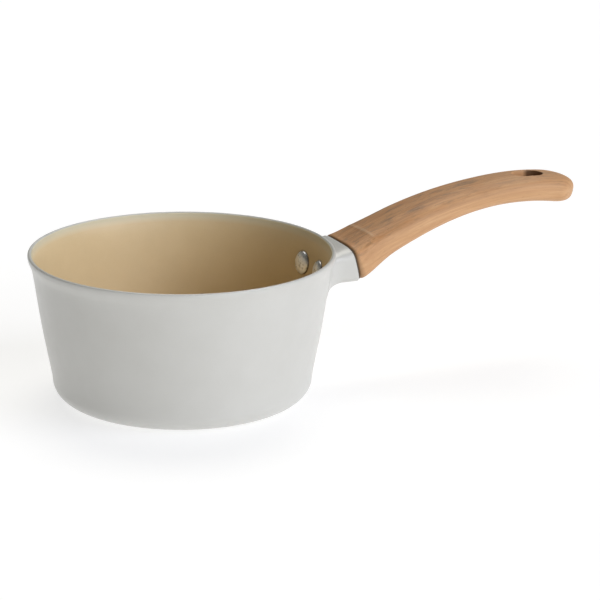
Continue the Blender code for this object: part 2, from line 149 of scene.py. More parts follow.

# Where other materials change, each between two distances
# The lining's paler top edge: partly its thinner coat over the crest, partly a painted highlight on the
# upward-facing rim
PALE_EDGE_AND_HIGHLIGHT_HEIGHTS = (HEIGHT - 0.0052, HEIGHT - 0.0018)
# Painted shade: a dark ring on the lining round each rivet head
RIVET_SHADE_RADII = (RIVET_HEAD_RADIUS, RIVET_HEAD_RADIUS + 0.0009)
# Painted dark reflection and shade on the steep foot of each rivet head
FOOT_SHADE_RISE = (0.0004, 0.0011)
# Painted highlight: a pale line across the grip's top, along the ridge
RIDGE_HIGHLIGHT_OFFSETS = (0.0003, 0.0011)
RIDGE_HIGHLIGHT_HEIGHTS = (0.0076, 0.0086)
# Painted shade on the grip's rounded front edge next to the seal
FRONT_SHADE_RUN = (0.0008, 0.0034)
# The hang hole's walls carry painted light and shade: the far wall pale as if lit, the tip end dark as if
# shaded
HOLE_WALL_RADII = (HOLE_RADIUS + 0.0002, HOLE_RADIUS + 0.0007)
HOLE_SHADE_OFFSETS = (0.0005, 0.0035)

# Screw hole in the grip's underside
TANG_START = Vector((0.0820, 0.0, 0.0616))
TANG_SLOPE = math.radians(23.5)
SCREW_ALONG_TANG = 0.046
SCREW_SEAT_DROP = 0.0044
SCREW_HOLE_DEPTH = 0.02
COUNTERBORE_RADIUS = 0.0044


# ---------------------------------------------------------------- mesh helpers


def link(name, mesh):
    obj = bpy.data.objects.new(name, mesh)
    bpy.context.scene.collection.objects.link(obj)
    return obj


def finish_mesh(name, bm, sharp=40.0):
    bmesh.ops.recalc_face_normals(bm, faces=bm.faces)
    mesh = bpy.data.meshes.new(name)
    bm.to_mesh(mesh)
    bm.free()
    mesh.shade_smooth()
    mesh.set_sharp_from_angle(angle=math.radians(sharp))
    return link(name, mesh)


def turned(name, profile, steps=TURNED_STEPS, matrix=None, sharp=40.0):
    """A closed profile of (radius, height) points turned about Z. A radius of nought is a pole."""
    bm = bmesh.new()
    rings = []
    for radius, height in profile:
        if radius < 1e-7:
            rings.append([bm.verts.new((0.0, 0.0, height))])
            continue
        angles = [2 * math.pi * i / steps for i in range(steps)]
        rings.append([bm.verts.new((radius * math.cos(a), radius * math.sin(a), height)) for a in angles])
    pairs = list(zip(rings, rings[1:]))
    if len(rings[0]) > 1:
        pairs.append((rings[-1], rings[0]))
    for first, second in pairs:
        for i in range(steps):
            j = (i + 1) % steps
            corners = [first[i % len(first)], first[j % len(first)]]
            corners += [second[j % len(second)], second[i % len(second)]]
            corners = list(dict.fromkeys(corners))
            if len(corners) > 2:
                bm.faces.new(corners)
    if matrix is not None:
        bmesh.ops.transform(bm, matrix=matrix, verts=bm.verts)
    return finish_mesh(name, bm, sharp)


def lofted(name, rings, sharp=40.0):
    """A closed skin over rings of points, with a flat cap on each end."""
    bm = bmesh.new()
    loops = [[bm.verts.new(point) for point in ring] for ring in rings]
    count = len(loops[0])
    for first, second in zip(loops, loops[1:]):
        for i in range(count):
            j = (i + 1) % count
            bm.faces.new((first[i], first[j], second[j], second[i]))
    bm.faces.new(loops[0])
    bm.faces.new(loops[-1])
    return finish_mesh(name, bm, sharp)


def add_cone(bm, segments, bottom, top, depth, place):
    bmesh.ops.create_cone(
        bm, cap_ends=True, segments=segments, radius1=bottom, radius2=top, depth=depth, matrix=place
    )


def rod(name, radius, start, end, segments=48):
    """A round bar from one point to another."""
    start, end = Vector(start), Vector(end)
    along = end - start
    turn = along.to_track_quat("Z", "Y").to_matrix().to_4x4()
    place = Matrix.Translation((start + end) / 2) @ turn
    bm = bmesh.new()
    add_cone(bm, segments, radius, radius, along.length, place)
    return finish_mesh(name, bm)


def apply_modifiers(obj):
    """Replaces the object's mesh with its evaluated mesh."""
    graph = bpy.context.evaluated_depsgraph_get()
    mesh = bpy.data.meshes.new_from_object(obj.evaluated_get(graph))
    obj.modifiers.clear()
    obj.data = mesh
    return obj


def cut(obj, *cutters):
    """Takes the cutters' shapes out of the object's mesh and removes the cutters."""
    for cutter in cutters:
        modifier = obj.modifiers.new(cutter.name, "BOOLEAN")
        modifier.operation = "DIFFERENCE"
        modifier.solver = "EXACT"
        modifier.object = cutter
    apply_modifiers(obj)
    for cutter in cutters:
        bpy.data.objects.remove(cutter)
    return obj


def smooth(at, knots, values):
    """The value at a place on the cubic curve through the knots."""
    knots, values = np.asarray(knots), np.asarray(values)
    slopes = np.gradient(values, knots)
    i = int(np.clip(np.searchsorted(knots, at) - 1, 0, len(knots) - 2))
    span = knots[i + 1] - knots[i]
    s = (at - knots[i]) / span
    return (
        (1 + 2 * s) * (1 - s) ** 2 * values[i]
        + s * (1 - s) ** 2 * span * slopes[i]
        + s * s * (3 - 2 * s) * values[i + 1]
        + s * s * (s - 1) * span * slopes[i + 1]
    )


def arc(centre, radius, start, end, count):
    """Points on an arc, from one angle in degrees to another."""
    angles = np.radians(np.linspace(start, end, count))
    return [(centre[0] + radius * math.cos(a), centre[1] + radius * math.sin(a)) for a in angles]


def oval(half_width, half_height, count, power):
    """Points (across, up) of a superellipse, evenly spaced round its outline."""
    angle = 2 * np.pi * np.arange(2881) / 2880
    c, s = np.cos(angle), np.sin(angle)
    across = half_width * np.sign(c) * np.abs(c) ** (2 / power)
    up = half_height * np.sign(s) * np.abs(s) ** (2 / power)
    run = np.concatenate([[0.0], np.cumsum(np.hypot(np.diff(across), np.diff(up)))])
    at = run[-1] * (np.arange(count) + 0.5) / count
    return list(zip(np.interp(at, run, across), np.interp(at, run, up)))


def leaning(centre, lean, points):
    """Points (across, up) in a plane that faces along the handle and leans back towards the pan."""
    up = Vector((-math.sin(lean), 0.0, math.cos(lean)))
    side = Vector((0.0, 1.0, 0.0))
    return [centre + side * across + up * rise for across, rise in points]


# ---------------------------------------------------------------- body


def wall_radius(height, inset=0.0):
    """Radius of the body's outer face at a height, or of a face that far inside it."""
    if height >= LIP_FOOT:
        depth = max(0.0, CREST_HEIGHT - height)
        return RIM_RADIUS - smooth(depth, LIP_DEPTHS, LIP_INSETS) - inset
    taper = (LIP_FOOT - height) * math.tan(WALL_TAPER)
    s = max(0.0, (height - CORNER_RADIUS) / (LIP_FOOT - CORNER_RADIUS))
    crown = WALL_CROWN * 16 * s**2 * (1 - s) ** 2  # WALL_CROWN at its middle
    return RIM_RADIUS - LIP_INSETS[-1] - taper + crown - inset


def wall_side(inset, floor, corner):
    """One face of the body from the crest down to the floor, at an inset from the outer face."""
    lip = np.linspace(CREST_HEIGHT, LIP_FOOT, 16)
    wall = np.linspace(LIP_FOOT, floor + corner, 24)
    points = [(wall_radius(height, inset), height) for height in (*lip, *wall[1:-1])]
    foot = wall_radius(floor + corner, inset) - corner * math.cos(WALL_TAPER)
    return points + arc((foot, floor + corner), corner, -math.degrees(WALL_TAPER), -90, 14)


def spread(start, end, count):
    """Points between two on a flat stretch, without the ends, so that its quads aren't too long."""
    return [tuple(p) for p in np.linspace(start, end, count + 2)[1:-1]]


def rivet_frame(side):
    """A matrix whose origin is on the wall's outer face and whose Z points out of the pan, square to it."""
    around = Matrix.Rotation(side * RIVET_ANGLE, 4, "Z")
    outward = Matrix.Rotation(math.pi / 2 + WALL_TAPER, 4, "Y")
    return around @ Matrix.Translation((wall_radius(RIVET_HEIGHT), 0.0, RIVET_HEIGHT)) @ outward


def rivet_drills():
    drills = []
    for side in (-1, 1):
        start, end = (rivet_frame(side) @ Vector((0.0, 0.0, reach)) for reach in RIVET_DRILL_REACH)
        drills.append(rod(f"rivet_drill_{side}", RIVET_SHANK_RADIUS + TOUCH, start, end))
    return drills


def make_body():
    crest = arc((RIM_RADIUS - WALL_THICKNESS / 2, CREST_HEIGHT), WALL_THICKNESS / 2, 180, 0, 15)
    inner = wall_side(WALL_THICKNESS, FLOOR_TOP, CORNER_RADIUS - WALL_THICKNESS)
    outer = wall_side(0.0, BASE_HEIGHT, CORNER_RADIUS)
    recess_radius = PLATE_RADIUS + RECESS_GAP
    recess_top = PLATE_TOP + TOUCH
    mouth = (recess_radius + SMALL_EDGE, BASE_HEIGHT)
    profile = [(0.0, FLOOR_TOP)] + inner[::-1] + crest[1:-1] + outer
    profile += spread(outer[-1], mouth, 2)
    profile += [mouth, (recess_radius, BASE_HEIGHT + SMALL_EDGE)]
    profile += [(recess_radius, recess_top), (0.0, recess_top)]
    body = turned("pan_body", profile)
    return cut(body, *rivet_drills())


def make_lining():
    """The ceramic film inside the body. It ends in a soft edge on the inner side of the rounded crest."""
    centre = (RIM_RADIUS - WALL_THICKNESS / 2, CREST_HEIGHT)
    corner = CORNER_RADIUS - WALL_THICKNESS
    back_floor, face_floor = FLOOR_TOP + TOUCH, FLOOR_TOP + LINING_THICKNESS
    back = wall_side(WALL_THICKNESS + TOUCH, back_floor, corner - TOUCH)
    face = wall_side(WALL_THICKNESS + LINING_THICKNESS, face_floor, corner - LINING_THICKNESS)
    rim = WALL_THICKNESS / 2
    over = arc(centre, rim + LINING_THICKNESS, 180, LINING_EDGE_ANGLE + 10, 5)
    edge = arc(centre, rim + LINING_THICKNESS * 0.6, LINING_EDGE_ANGLE + 4, LINING_EDGE_ANGLE, 2)
    under = arc(centre, rim + TOUCH, LINING_EDGE_ANGLE, 180, 6)
    profile = [(0.0, face_floor)] + face[::-1] + over[1:] + edge + under[:-1] + back + [(0.0, back_floor)]
    lining = turned("ceramic_coat", profile)
    return cut(lining, *rivet_drills())


def hole_places():
    """The middles of the induction plate's holes, as matrices."""
    for radius, count in PLATE_HOLE_RINGS:
        for i in range(count):
            angle = 2 * math.pi * (i + 0.37) / count
            yield Matrix.Translation((radius * math.cos(angle), radius * math.sin(angle), 0.0))


def make_plate():
    flat_radius = PLATE_RADIUS - SMALL_EDGE
    profile = [(0.0, PLATE_TOP)] + spread((0.0, PLATE_TOP), (flat_radius, PLATE_TOP), 2)
    profile += [(flat_radius, PLATE_TOP), (PLATE_RADIUS, PLATE_TOP - SMALL_EDGE), (PLATE_RADIUS, SMALL_EDGE)]
    profile += arc((flat_radius, SMALL_EDGE), SMALL_EDGE, 0, -90, 5)[1:]
    profile += spread((flat_radius, 0.0), (0.0, 0.0), 2) + [(0.0, 0.0)]
    plate = turned("induction_disc", profile)
    bm = bmesh.new()
    for place in hole_places():
        add_cone(bm, 32, PLATE_HOLE_RADIUS, PLATE_HOLE_RADIUS, 4 * PLATE_TOP, place)
    return cut(plate, finish_mesh("plate_drills", bm))


def make_pips():
    """The aluminium that fills the plate's holes, a little below its face."""
    bm = bmesh.new()
    radius = PLATE_HOLE_RADIUS - TOUCH
    middle = Matrix.Translation((0.0, 0.0, (PIP_SINK + PLATE_TOP) / 2))
    for place in hole_places():
        add_cone(bm, 32, radius * PIP_TAPER, radius, PLATE_TOP - PIP_SINK, place @ middle)
    return finish_mesh("plate_pips", bm)


def make_rivet(name, side):
    """A low dome with a steep rim, and its shank. Its mesh stores how far each vertex is above the seat."""
    seat = -(WALL_THICKNESS + LINING_THICKNESS + TOUCH)
    inward, outward = RIVET_DOME_POWERS
    profile = [(0.0, RIVET_TAIL_REACH), (RIVET_SHANK_RADIUS, RIVET_TAIL_REACH), (RIVET_SHANK_RADIUS, seat)]
    profile.append((RIVET_HEAD_RADIUS * RIVET_FOOT_SHARE, seat))
    for angle in np.radians(np.linspace(0, 90, 15)[:-1]):
        radius = RIVET_HEAD_RADIUS * math.cos(angle) ** inward
        profile.append((radius, seat - RIVET_HEAD_RISE * math.sin(angle) ** outward))
    profile.append((0.0, seat - RIVET_HEAD_RISE))
    rivet = turned(name, profile, 64)
    rise = [seat - vertex.co.z for vertex in rivet.data.vertices]
    rivet.data.attributes.new("rise", "FLOAT", "POINT").data.foreach_set("value", rise)
    rivet.data.transform(rivet_frame(side))
    return rivet


# ---------------------------------------------------------------- bracket


def on_wall(across, height, stand_off):
    """The point that far outside the pan's wall, at a place across the handle and a height."""
    radius = wall_radius(height) + stand_off
    return Vector((math.sqrt(radius**2 - across**2), across, height))


def neck_rings(count):
    """Rings from the neck's mouth, down its fillet, over the flange's edge and across its back."""
    along = Vector((math.cos(JOINT_LEAN), 0.0, math.sin(JOINT_LEAN)))
    mouth_centre = JOINT_CENTRE - along * (GASKET_THICKNESS / 2 + TOUCH)
    mouth = leaning(mouth_centre, JOINT_LEAN, oval(JOINT_HALF_WIDTH, JOINT_HALF_HEIGHT, count, JOINT_POWER))
    root_outline = oval(ROOT_HALF_WIDTH, ROOT_HALF_HEIGHT, count, NECK_POWER)
    root = [(y, ROOT_CENTRE_HEIGHT + z) for y, z in root_outline]
    outline = oval(FLANGE_HALF_WIDTH, FLANGE_HALF_HEIGHT, count, FLANGE_POWER)
    flange = [(y, FLANGE_CENTRE_HEIGHT + z) for y, z in outline]
    corner = [on_wall(y, z, FLANGE_THICKNESS) for y, z in root]
    edge = [on_wall(y, z, FLANGE_EDGE) for y, z in flange]
    start = [c.lerp(m, 0.5) for c, m in zip(corner, mouth)]
    rings = []
    for back, inset in MOUTH_EDGE:
        centre = mouth_centre - along * back
        width, height = JOINT_HALF_WIDTH - inset, JOINT_HALF_HEIGHT - inset
        rings.append(leaning(centre, JOINT_LEAN, oval(width, height, count, JOINT_POWER)))
    for s in np.linspace(0.15, 1.0, 8):
        rings.append([m.lerp(p, s) for m, p in zip(rings[2], start)])
    for s in np.linspace(0.04, 1.0, 25):
        pairs = zip(start, corner, edge)
        rings.append([a * (1 - s) ** 2 + b * 2 * s * (1 - s) + c * s * s for a, b, c in pairs])
    for reach, stand_off in FLANGE_BACK:
        ring = []
        for y, z in flange:
            height = FLANGE_CENTRE_HEIGHT + reach * (z - FLANGE_CENTRE_HEIGHT)
            ring.append(on_wall(reach * y, height, stand_off))
        rings.append(ring)
    return rings


def make_bracket():
    """The hollow neck with its flared foot on the wall."""
    bracket = lofted("cast_bracket", neck_rings(144), 50.0)
    inner = oval(JOINT_HALF_WIDTH - NECK_WALL, JOINT_HALF_HEIGHT - NECK_WALL, 64, JOINT_POWER)
    deep = oval(ROOT_HALF_WIDTH - NECK_WALL, ROOT_HALF_HEIGHT - NECK_WALL, 64, JOINT_POWER)
    outside = JOINT_CENTRE + HOLLOW_PAST_MOUTH
    floor = Vector((HOLLOW_FLOOR_X, 0.0, ROOT_CENTRE_HEIGHT))
    hollow = lofted("neck_hollow", [leaning(outside, JOINT_LEAN, inner), leaning(floor, 0.0, deep)])
    return cut(bracket, hollow)


def make_gasket():
    """The thin dark seal between the neck's mouth and the grip."""
    along = Vector((math.cos(JOINT_LEAN), 0.0, math.sin(JOINT_LEAN)))
    rings = []
    for place, inset in GASKET_EDGES:
        centre = JOINT_CENTRE + along * (place * GASKET_THICKNESS)
        width = JOINT_HALF_WIDTH - GASKET_INSET - inset
        height = JOINT_HALF_HEIGHT - GASKET_INSET - inset
        rings.append(leaning(centre, JOINT_LEAN, oval(width, height, 96, JOINT_POWER)))
    return lofted("joint_seal", rings)


# ---------------------------------------------------------------- grip


def grip_centreline(samples=400):
    """Fractions of the grip's length, and the centreline's points there."""
    at = np.linspace(0.0, 1.0, samples)
    slope = np.array([smooth(a, SLOPE_AT, SLOPES) for a in at])
    step = GRIP_LENGTH / (samples - 1)
    middle = (slope[1:] + slope[:-1]) / 2
    x = JOINT_CENTRE.x + np.concatenate([[0.0], np.cumsum(np.cos(middle)) * step])
    z = JOINT_CENTRE.z + np.concatenate([[0.0], np.cumsum(np.sin(middle)) * step])
    return at, x, z


def thumb_relief(run, across, half_width):
    """How far the grip's top stands above its plain section: a fine ridge, and a shallow hollow past it."""
    middle = max(0.0, 1 - abs(across / half_width) ** 4)
    run += RIDGE_SKEW * across
    ridge = RIDGE_RISE * math.exp(-(((run - RIDGE_AT) / RIDGE_REACH) ** 2))
    s = (run - RIDGE_AT) / HOLLOW_LENGTH
    hollow = HOLLOW_DEPTH * 6.75 * s * (1 - s) ** 2 if 0 < s < 1 else 0.0  # HOLLOW_DEPTH at its deepest
    return middle * (ridge - hollow)


def grip_ring(at, centreline, count, inset=0.0):
    """The grip's section at a place. Past TIP_ROUND_FROM it is a slice of a turned, rounded end."""
    places, x, z = centreline
    centre = Vector((np.interp(at, places, x), 0.0, np.interp(at, places, z)))
    half_width = smooth(at, SIZE_AT, HALF_WIDTHS) - inset
    half_height = smooth(at, SIZE_AT, HALF_HEIGHTS) - inset
    closed = max(0.0, (at - TIP_ROUND_FROM) / (1 - TIP_ROUND_FROM)) ** TIP_FULLNESS
    power = smooth(at, SIZE_AT, POWERS)
    slice_height = half_height * (1 - closed**power) ** (1 / power)
    section = []
    for across, up in oval(half_width, slice_height, count, power):
        reach = half_width * max(0.0, 1 - (abs(up) / half_height) ** power) ** (1 / power)
        plain = half_width * max(0.0, 1 - (abs(up) / slice_height) ** power) ** (1 / power)
        slice_width = math.sqrt(max(0.0, reach**2 - (closed * half_width) ** 2))
        share = across / plain if plain > 1e-9 else 0.0
        if up > 0:
            up += thumb_relief(at * GRIP_LENGTH, across, half_width) * up / half_height
        section.append((share * slice_width, up))
    return leaning(centre, smooth(at, SLOPE_AT, SLOPES), section)


def grip_rings(count):
    centreline = grip_centreline()
    front = (GASKET_THICKNESS / 2 + TOUCH) / GRIP_LENGTH
    edge = GRIP_EDGE_ROUND / GRIP_LENGTH
    rings = []
    for angle in np.radians(np.linspace(10, 80, 5)):
        at = front + edge * (1 - math.sin(angle))
        rings.append(grip_ring(at, centreline, count, GRIP_EDGE_ROUND * 0.8 * (1 - math.cos(angle))))
    rings.reverse()
    for at in np.linspace(front + edge, TIP_ROUND_FROM, 110):
        rings.append(grip_ring(at, centreline, count))
    for angle in np.radians(np.linspace(4, 88, 24)):
        at = TIP_ROUND_FROM + (1 - TIP_ROUND_FROM) * math.sin(angle)
        rings.append(grip_ring(at, centreline, count))
    return rings


def hang_hole():
    """An upright cutter with round ends, its straight run along X."""
    outline = []
    for side, first in ((1, -90), (-1, 90)):
        outline += arc((HOLE_X + side * HOLE_STRAIGHT / 2, 0.0), HOLE_RADIUS, first, first + 180, 33)
    return lofted("hang_hole", [[Vector((x, y, z)) for x, y in outline] for z in HOLE_CUT_HEIGHTS])


def screw_hole():
    tang = Matrix.Translation(TANG_START) @ Matrix.Rotation(-TANG_SLOPE, 4, "Y")
    seat = tang @ Vector((SCREW_ALONG_TANG, 0.0, -SCREW_SEAT_DROP))
    below = tang @ Vector((SCREW_ALONG_TANG, 0.0, -SCREW_HOLE_DEPTH))
    return rod("screw_hole", COUNTERBORE_RADIUS, below, seat)


def add_grain_places(obj):
    """Stores each vertex's place along the grip, across it and up from its centreline, for the grain."""
    _, x, z = grip_centreline(GRAIN_SAMPLES)
    points = np.zeros(len(obj.data.vertices) * 3)
    obj.data.vertices.foreach_get("co", points)
    points = points.reshape(-1, 3)
    nearest = ((points[:, :1] - x) ** 2 + (points[:, 2:] - z) ** 2).argmin(axis=1)
    run = nearest * GRIP_LENGTH / (GRAIN_SAMPLES - 1)
    slope = np.arctan2(np.gradient(z), np.gradient(x))[nearest]
    dx, dz = points[:, 0] - x[nearest], points[:, 2] - z[nearest]
    run = run + dx * np.cos(slope) + dz * np.sin(slope)
    up = -dx * np.sin(slope) + dz * np.cos(slope)
    places = np.stack([run, points[:, 1], up], axis=1).astype(np.float32)
    attribute = obj.data.attributes.new("grain", "FLOAT_VECTOR", "POINT")
    attribute.data.foreach_set("vector", places.ravel())


def make_grip():
    """The loft with its holes cut, remeshed finely so that every edge is softly rounded."""
    grip = lofted("curved_grip", grip_rings(96))
    cut(grip, hang_hole(), screw_hole())
    remesh = grip.modifiers.new("remesh", "REMESH")
    remesh.mode = "VOXEL"
    remesh.voxel_size = GRIP_VOXEL
    relax = grip.modifiers.new("relax", "SMOOTH")
    relax.factor = 0.5
    relax.iterations = 6
    apply_modifiers(grip)
    grip.data.shade_smooth()
    add_grain_places(grip)
    return grip


# ---------------------------------------------------------------- materials


class Nodes:
    """Short names for building a material's node tree."""

    def __init__(self, name):
        self.material = bpy.data.materials.new(name)
        self.material.use_nodes = True
        self.tree = self.material.node_tree
        self.shader = self.tree.nodes["Principled BSDF"]

    def add(self, kind, **settings):
        node = self.tree.nodes.new(kind)
        for key, value in settings.items():
            setattr(node, key, value)
        return node

    def join(self, source, target):
        self.tree.links.new(source, target)

    def place(self, scale):
        """Object coordinates times a scale, one number or three."""
        where = self.add("ShaderNodeTexCoord")
        return self.scaled(where.outputs["Object"], scale)

    def scaled(self, vector, scale):
        mapping = self.add("ShaderNodeMapping")
        mapping.inputs["Scale"].default_value = (scale,) * 3 if isinstance(scale, (int, float)) else scale
        self.join(vector, mapping.inputs["Vector"])
        return mapping.outputs["Vector"]

    def noise(self, vector, detail=3.0, roughness=0.5, distortion=0.0):
        node = self.add("ShaderNodeTexNoise")
        node.inputs["Scale"].default_value = 1.0
        node.inputs["Detail"].default_value = detail
        node.inputs["Roughness"].default_value = roughness
        node.inputs["Distortion"].default_value = distortion
        self.join(vector, node.inputs["Vector"])
        return node.outputs["Fac"]

    def ramp(self, value, *stops):
        """A colour ramp of (place, (r, g, b)) stops."""
        node = self.add("ShaderNodeValToRGB")
        elements = node.color_ramp.elements
        while len(elements) < len(stops):
            elements.new(0.5)
        for element, (at, colour) in zip(elements, stops):
            element.position = at
            element.color = (*colour, 1.0)
        self.join(value, node.inputs["Fac"])
        return node.outputs["Color"]

    def range(self, value, low, high, to_low, to_high):
        """The value taken from one range to another, and held at its ends."""
        node = self.add("ShaderNodeMapRange")
        for key, number in (("From Min", low), ("From Max", high), ("To Min", to_low), ("To Max", to_high)):
            node.inputs[key].default_value = number
        self.join(value, node.inputs["Value"])
        return node.outputs["Result"]

    def mix(self, factor, first, second):
        node = self.add("ShaderNodeMix", data_type="RGBA")
        for socket, value in ((node.inputs[0], factor), (node.inputs[6], first), (node.inputs[7], second)):
            if isinstance(value, bpy.types.NodeSocket):
                self.join(value, socket)
            else:
                socket.default_value = value if isinstance(value, float) else (*value, 1.0)
        return node.outputs[2]

    def split(self, vector):
        """The X, Y and Z of a vector."""
        node = self.add("ShaderNodeSeparateXYZ")
        self.join(vector, node.inputs["Vector"])
        return node.outputs

    def math(self, operation, first, second=0.0):
        node = self.add("ShaderNodeMath", operation=operation)
        for socket, value in zip(node.inputs, (first, second)):
            if isinstance(value, bpy.types.NodeSocket):
                self.join(value, socket)
            else:
                socket.default_value = value
        return node.outputs[0]

    def bump(self, height, strength, distance):
        node = self.add("ShaderNodeBump")
        node.inputs["Strength"].default_value = strength
        node.inputs["Distance"].default_value = distance
        self.join(height, node.inputs["Height"])
        self.join(node.outputs["Normal"], self.shader.inputs["Normal"])

    def set(self, **values):
        """Sets the shader's sockets, by names with _ for a space, to a number, a colour or a link."""
        for key, value in values.items():
            socket = self.shader.inputs[key.replace("_", " ")]
            if isinstance(value, bpy.types.NodeSocket):
                self.join(value, socket)
            else:
                socket.default_value = (*value, 1.0) if isinstance(value, tuple) else value
        return self.material


def lacquer():
    """Satin stoving lacquer on aluminium: faint mottling, fine orange peel and sparse specks."""
    n = Nodes("outer_lacquer")
    cloud = n.noise(n.place(45.0), 4.0, 0.6)
    fine = n.noise(n.place(900.0), 3.0, 0.6)
    specks = n.noise(n.place(2600.0), 1.0)
    tint = n.ramp(cloud, (0.3, (0.523, 0.519, 0.493)), (0.7, (0.547, 0.543, 0.519)))
    dots = n.range(specks, 0.74, 0.82, 0.0, 0.35)
    colour = n.mix(dots, tint, (0.38, 0.37, 0.34))
    n.bump(n.math("ADD", fine, n.math("MULTIPLY", cloud, 0.4)), 0.10, 0.0004)
    rough = n.range(n.noise(n.place(160.0), 4.0), 0.3, 0.7, 0.33, 0.41)
    return n.set(Base_Color=colour, Roughness=rough, Coat_Weight=0.25, Coat_Roughness=0.22)


def ceramic():
    """Beige sprayed ceramic with a fine fleck, a paler top edge that is partly a painted highlight, and a
    painted shade line round each rivet's head.
    """
    n = Nodes("ceramic_lining")
    cloud = n.noise(n.place(38.0), 4.0, 0.6)
    grit = n.noise(n.place(1500.0), 2.0)
    fleck = n.noise(n.place(3100.0), 1.0)
    tint = n.ramp(cloud, (0.3, (0.665, 0.520, 0.306)), (0.7, (0.708, 0.560, 0.340)))
    dark = n.mix(n.range(fleck, 0.70, 0.80, 0.0, 0.35), tint, (0.40, 0.28, 0.15))
    pale = n.mix(n.range(grit, 0.66, 0.76, 0.0, 0.30), dark, (0.80, 0.70, 0.52))
    # Paler towards the crest: partly the thinner coat over the edge, partly a painted highlight where the
    # rim faces up
    pale_edge_and_highlight = n.range(n.split(n.place(1.0))["Z"], *PALE_EDGE_AND_HIGHLIGHT_HEIGHTS, 0.0, 0.75)
    colour = n.mix(pale_edge_and_highlight, pale, (0.69, 0.68, 0.55))
    # Painted shade: a dark ring on the lining just outside each rivet head, where shade falls round it
    for side in (-1, 1):
        gap = n.add("ShaderNodeVectorMath", operation="DISTANCE")
        n.join(n.place(1.0), gap.inputs[0])
        gap.inputs[1].default_value = rivet_frame(side) @ Vector((0.0, 0.0, -WALL_THICKNESS))
        rivet_shade = n.range(gap.outputs["Value"], *RIVET_SHADE_RADII, 0.5, 0.0)
        colour = n.mix(rivet_shade, colour, (0.17, 0.11, 0.05))
    n.bump(grit, 0.08, 0.0003)
    rough = n.range(n.noise(n.place(140.0), 4.0), 0.3, 0.7, 0.40, 0.50)
    return n.set(Base_Color=colour, Roughness=rough, Specular_IOR_Level=0.4)


def hole_walls(n):
    """Where light and shade are painted on the hang hole's walls: 1 on them and 0 elsewhere, and the
    distance along the grip from the hole's middle.
    """
    place = n.split(n.place(1.0))
    along = n.math("SUBTRACT", place["X"], HOLE_X)
    past = n.math("MAXIMUM", n.math("SUBTRACT", n.math("ABSOLUTE", along), HOLE_STRAIGHT / 2), 0.0)
    squares = n.math("ADD", n.math("POWER", past, 2.0), n.math("POWER", place["Y"], 2.0))
    painted_hole_walls = n.range(n.math("SQRT", squares), *HOLE_WALL_RADII, 1.0, 0.0)
    return painted_hole_walls, along


def ridge_highlight(n, parts):
    """A painted highlight: a fine pale line across the top of the grip, along the ridge."""
    skewed = n.math("ADD", parts["X"], n.math("MULTIPLY", parts["Y"], RIDGE_SKEW))
    off_ridge = n.math("ABSOLUTE", n.math("SUBTRACT", skewed, RIDGE_AT))
    crown_only = n.range(parts["Z"], *RIDGE_HIGHLIGHT_HEIGHTS, 0.0, 1.0)
    return n.math("MULTIPLY", n.range(off_ridge, *RIDGE_HIGHLIGHT_OFFSETS, 0.34, 0.0), crown_only)


